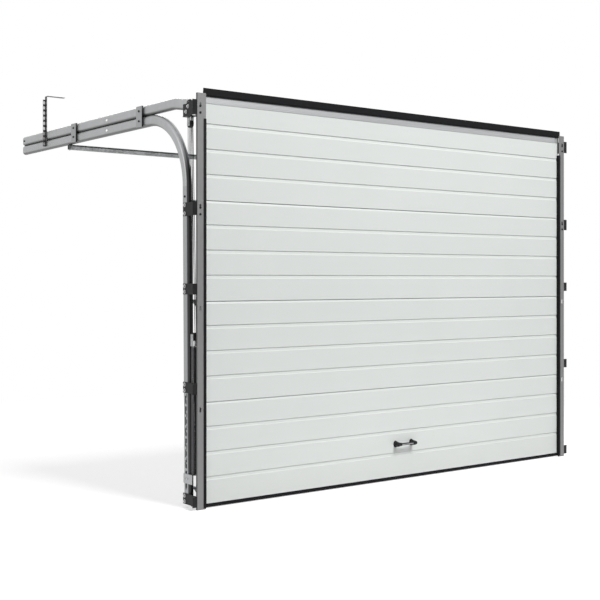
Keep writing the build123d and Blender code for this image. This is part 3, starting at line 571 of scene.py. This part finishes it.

# Rail plates, hangers and cross bar: galvanized strip, a little darker than the rails. The plates carry
# painted shade on their front and downward faces, and the hangers are painted much darker as painted shade.
# Black bolts hold the plates to the rails, and one bolt a side the cross bar.
# Painted shade: with shaded_to far above, every front and downward face of the plates is near black.
plate_steel = rolled_track("plate_steel", (0.27, 0.275, 0.28), (0.40, 0.405, 0.41), shaded_to=9.0)
paint(plate_steel, "rail_plates")
paint(zinc_steel("bar_steel", (0.26, 0.265, 0.27), (0.38, 0.385, 0.39)), "cross_bar")
# Painted shade: the hangers get a near black copy of the galvanized steel.
paint(zinc_steel("hanger_painted_shade_steel", (0.05, 0.05, 0.052), (0.12, 0.12, 0.122)), "hanger_left", "hanger_right")
plate_face = 1.385
plate_lines = (0.576, 1.378)
plate_bolt_heights = (1.975, 2.028)
bar_bolt_line = 1.3615
downward = (0, 0, -1)
rail_bolts = []
bar_bolts = []
for sign in sides.values():
    outward = (sign, 0, 0)
    rail_bolts += [((middle + sign * plate_face, along, height), outward)
                   for along in plate_lines for height in plate_bolt_heights]
    bar_bolts.append(((middle + sign * bar_bolt_line, 1.480, 1.9112), downward))
set_out(small_bolt, "rail_bolts", rail_bolts, bolt_black)
set_out(small_bolt, "bar_bolts", bar_bolts, bolt_zinc)

# Springs: dark spring wire wound in nearly closed turns, one coil a side. Each stands between its
# anchor at the foot of the track and the yoke of the lower pulley.
def wound_coil():
    low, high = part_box("spring_right")
    wire = 0.005
    turns = 118
    steps = 20
    mean = (high.x - low.x - wire) / 2
    bpy.ops.object.select_all(action="DESELECT")
    bpy.ops.mesh.primitive_circle_add(vertices=8, radius=wire / 2, location=(mean, 0, 0),
                                      rotation=(math.radians(90), 0, 0))
    coil = bpy.context.object
    bpy.ops.object.transform_apply(location=True, rotation=True, scale=True)
    winding = coil.modifiers.new("winding", "SCREW")
    winding.iterations = turns
    winding.screw_offset = (high.z - low.z - wire) / turns
    winding.steps = winding.render_steps = steps
    bpy.ops.object.modifier_apply(modifier="winding")
    bpy.ops.object.mode_set(mode="EDIT")
    bpy.ops.mesh.select_all(action="SELECT")
    bpy.ops.mesh.fill_holes(sides=0)
    bpy.ops.mesh.select_all(action="SELECT")
    bpy.ops.mesh.normals_make_consistent(inside=False)
    bpy.ops.object.mode_set(mode="OBJECT")
    coil.data.transform(Matrix.Translation((0, 0, wire / 2)))
    return coil


spring_steel = zinc_steel("spring_steel", (0.05, 0.05, 0.053), (0.13, 0.13, 0.135),
                          flake=0.004, roughness=0.36)
upward = (0, 0, 1)
coil_pattern = wound_coil()
for side in sides:
    low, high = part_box(f"spring_{side}")
    foot = ((low.x + high.x) / 2, (low.y + high.y) / 2, low.z)
    coil = set_out(coil_pattern, f"spring_coil_{side}", [(foot, upward)], spring_steel)
    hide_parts(f"spring_{side}")

# Spring anchors and pulley yokes: folded strip with a bright plating. Two bolts hold each anchor to
# the track, and each yoke holds the axle of its pulley.
plated_steel = zinc_steel("plated_steel", (0.28, 0.285, 0.29), (0.46, 0.465, 0.47),
                          flake=0.005, roughness=0.3)
paint(plated_steel, "spring_anchors", "pulley_yokes")
anchor_face = 1.378
anchor_height = 0.142
anchor_bolts = [((middle + sign * anchor_face, along, anchor_height), (sign, 0, 0))
                for sign in sides.values() for along in (0.092, 0.114)]
set_out(small_bolt, "anchor_bolts", anchor_bolts, bolt_zinc)

# Pulleys: moulded black wheels, turning in the yokes. Each has two grooves side by side, one for
# each of the ropes.
paint(plastic_black, "upper_pulley_left", "upper_pulley_right", "lower_pulley_left", "lower_pulley_right")


# Ropes: two wire ropes a side, six strands each, from the top bracket round the pulley on the
# spring, over the upper pulley and down to the bottom bracket. Sleeves are crimped on both ends.
def rope_course(sign, offset):
    """The middle line of one rope, read from its smooth route."""
    route = (
        (1.3660, 0.0720, 1.9449), (1.3582, 0.0769, 0.8560), (1.3580, 0.0770, 0.8320),
        (1.3580, 0.0430, 0.8320), (1.3576, 0.0444, 0.8560), (1.3414, 0.1036, 1.9070),
        (1.3410, 0.1050, 1.9310), (1.3410, 0.1390, 1.9310), (1.3410, 0.1388, 1.9070),
        (1.3400, 0.1240, 0.0951),
    )
    curve = bpy.data.curves.new("rope_route", "CURVE")
    curve.dimensions = "3D"
    curve.resolution_u = 64
    spline = curve.splines.new("NURBS")
    spline.points.add(len(route) - 1)
    for point, (x, y, z) in zip(spline.points, route):
        point.co = (middle + sign * (x + offset), y, z, 1.0)
    spline.use_endpoint_u = True
    spline.order_u = 3
    holder = bpy.data.objects.new("rope_route", curve)
    line = bpy.data.meshes.new_from_object(holder)
    course = [vertex.co.copy() for vertex in line.vertices]
    bpy.data.objects.remove(holder)
    return course


def laid_rope(course):
    """Six strands laid round the middle line, one turn every lay."""
    strands = 6
    radius = 0.0020
    valley = 0.0016
    lay = 0.028
    step = 0.0035
    even = [course[0]]
    gone = 0.0
    for start, end in zip(course, course[1:]):
        span = (end - start).length
        while span and gone + span >= step:
            start = start + (end - start) * ((step - gone) / span)
            span = (end - start).length
            gone = 0.0
            even.append(start)
        gone += span
    section = bpy.data.curves.new("strand_section", "CURVE")
    ring = section.splines.new("POLY")
    ring.points.add(2 * strands - 1)
    ring.use_cyclic_u = True
    for index, point in enumerate(ring.points):
        reach = radius if index % 2 == 0 else valley
        angle = index * math.pi / strands
        point.co = (reach * math.cos(angle), reach * math.sin(angle), 0, 1)
    shape = bpy.data.objects.new("strand_section", section)
    curve = bpy.data.curves.new("rope", "CURVE")
    curve.dimensions = "3D"
    curve.bevel_mode = "OBJECT"
    curve.bevel_object = shape
    curve.use_fill_caps = True
    spline = curve.splines.new("POLY")
    spline.points.add(len(even) - 1)
    for index, (point, place) in enumerate(zip(spline.points, even)):
        point.co = (*place, 1)
        point.tilt = 2 * math.pi * index * step / lay
    rope = bpy.data.objects.new("rope", curve)
    bpy.context.scene.collection.objects.link(rope)
    bpy.ops.object.select_all(action="DESELECT")
    rope.select_set(True)
    bpy.context.view_layer.objects.active = rope
    bpy.ops.object.convert(target="MESH")
    bpy.data.objects.remove(shape)
    rope = bpy.context.object
    bpy.ops.object.mode_set(mode="EDIT")
    bpy.ops.mesh.select_all(action="SELECT")
    bpy.ops.mesh.remove_doubles(threshold=0.00001)
    bpy.ops.mesh.normals_make_consistent(inside=False)
    bpy.ops.object.mode_set(mode="OBJECT")
    return rope


def drawn_wire():
    """Zinc on the wire, with painted shade darkening the runs in front, which pass under the lower pulley.
    """
    wire = Finish("rope_steel", metallic=0.85)
    grime = wire.noise(60.0, 3.0)
    # Painted shade: rope runs nearer the front than Y 0.108 turn near black.
    rear = wire.between(wire.axis("Y"), 0.108, 0.122)
    zinc = wire.blend(grime, (0.24, 0.24, 0.25), (0.38, 0.38, 0.39))
    return wire.feed(
        base_color=wire.blend(rear, (0.03, 0.03, 0.031), zinc),
        roughness=grime * 0.2 + 0.3,
    )


rope_steel = drawn_wire()
rope_offsets = (-0.00375, 0.00375)
sleeve_places = ((1.3659, 0.0721, 1.922), (1.3400, 0.1241, 0.100))
sleeve = turned_blank(corners=16, radius=0.0034, low=0.0, high=0.018, rim=0.0008)
sleeves = []
for side, sign in sides.items():
    pair = [laid_rope(rope_course(sign, offset)) for offset in rope_offsets]
    ropes = finished(join(f"wire_ropes_{side}", pair), rope_steel)
    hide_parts(f"ropes_{side}")
    sleeves += [((middle + sign * (across + offset), along, height), upward)
                for offset in rope_offsets for across, along, height in sleeve_places]
set_out(sleeve, "rope_sleeves", sleeves, bolt_zinc)
for pattern in (screw, rivet, small_bolt, wide_bolt, coil_pattern, sleeve):
    bpy.data.objects.remove(pattern)


# Studio: a white floor that keeps the door's shadow and fades into a white surround. One large
# soft lamp hangs high in front, and a dark card that only reflections see gives the steel its depth.
seen_rays = ("Is Camera Ray", "Is Glossy Ray", "Is Transmission Ray")


def seen_white(look):
    """One where the camera, a reflection or glass sees the surface, and nothing for soft light."""
    direct, glossy, through = [look.add("LightPath", {}, {}, ray) for ray in seen_rays]
    return direct + glossy + through


def studio_sheet(name, size, place, turn):
    bpy.ops.object.select_all(action="DESELECT")
    bpy.ops.mesh.primitive_plane_add(size=size, location=place, rotation=turn)
    sheet = bpy.context.object
    sheet.name = name
    sheet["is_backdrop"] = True
    return sheet


def studio_floor():
    floor = studio_sheet("studio_floor", 60.0, (1.35, 1.0, -0.001), (0, 0, 0))
    look = Finish("studio_floor", base_color=(0.8, 0.8, 0.8, 1.0), roughness=0.9, emission_strength=1.0,
                  specular_ior_level=0.1)
    white = seen_white(look)
    look.feed(emission_color=white * 0.5)
    distance = look.add("VectorMath", {"operation": "LENGTH"}, {0: look.place()}, "Value")
    far = look.add("Emission", {}, {"Color": white * 0.8 + 0.2})
    mixed = look.add("MixShader", {}, {0: look.between(distance, 2.4, 4.2), 2: far})
    look.tree.links.new(look.shader.outputs[0], mixed.socket.node.inputs[1])
    look.tree.links.new(mixed.socket, look.tree.nodes["Material Output"].inputs["Surface"])
    floor.data.materials.append(look.material)


def dark_card():
    card = studio_sheet("dark_card", 9.0, (6.5, -8.0, 1.5), (math.radians(90), 0, math.radians(20)))
    card.visible_camera = card.visible_diffuse = card.visible_shadow = False
    look = Finish("dark_card", base_color=(0.01, 0.01, 0.01, 1.0), roughness=1.0)
    card.data.materials.append(look.material)


studio_floor()
dark_card()

soft_light = 0.22
seen_light = 1.0
surround = bpy.data.worlds.new("surround")
surround.use_nodes = True
bpy.context.scene.world = surround
sky = surround.node_tree
rays = sky.nodes.new("ShaderNodeLightPath")
total = rays.outputs[seen_rays[0]]
for ray in seen_rays[1:]:
    both = sky.nodes.new("ShaderNodeMath")
    sky.links.new(total, both.inputs[0])
    sky.links.new(rays.outputs[ray], both.inputs[1])
    total = both.outputs[0]
level = sky.nodes.new("ShaderNodeMapRange")
level.inputs[3].default_value = soft_light
level.inputs[4].default_value = seen_light
sky.links.new(total, level.inputs[0])
sky.nodes["Background"].inputs["Color"].default_value = (1.0, 1.0, 1.0, 1.0)
sky.links.new(level.outputs[0], sky.nodes["Background"].inputs["Strength"])


def soft_lamp(name, size, power, place, aim):
    lamp = bpy.data.lights.new(name, "AREA")
    lamp.size = size
    lamp.energy = power
    holder = bpy.data.objects.new(name, lamp)
    holder.location = place
    holder.rotation_euler = (Vector(aim) - Vector(place)).to_track_quat("-Z", "Y").to_euler()
    bpy.context.scene.collection.objects.link(holder)


soft_lamp("key_lamp", size=3.0, power=700.0, place=(1.9, -5.6, 7.2), aim=(1.35, 0.0, 0.8))
soft_lamp("side_lamp", size=2.5, power=60.0, place=(-5.5, 1.5, 3.5), aim=(0.0, 1.0, 1.2))
soft_lamp("rear_lamp", size=2.5, power=120.0, place=(3.0, 6.5, 4.5), aim=(1.35, 1.0, 1.2))

low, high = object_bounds()
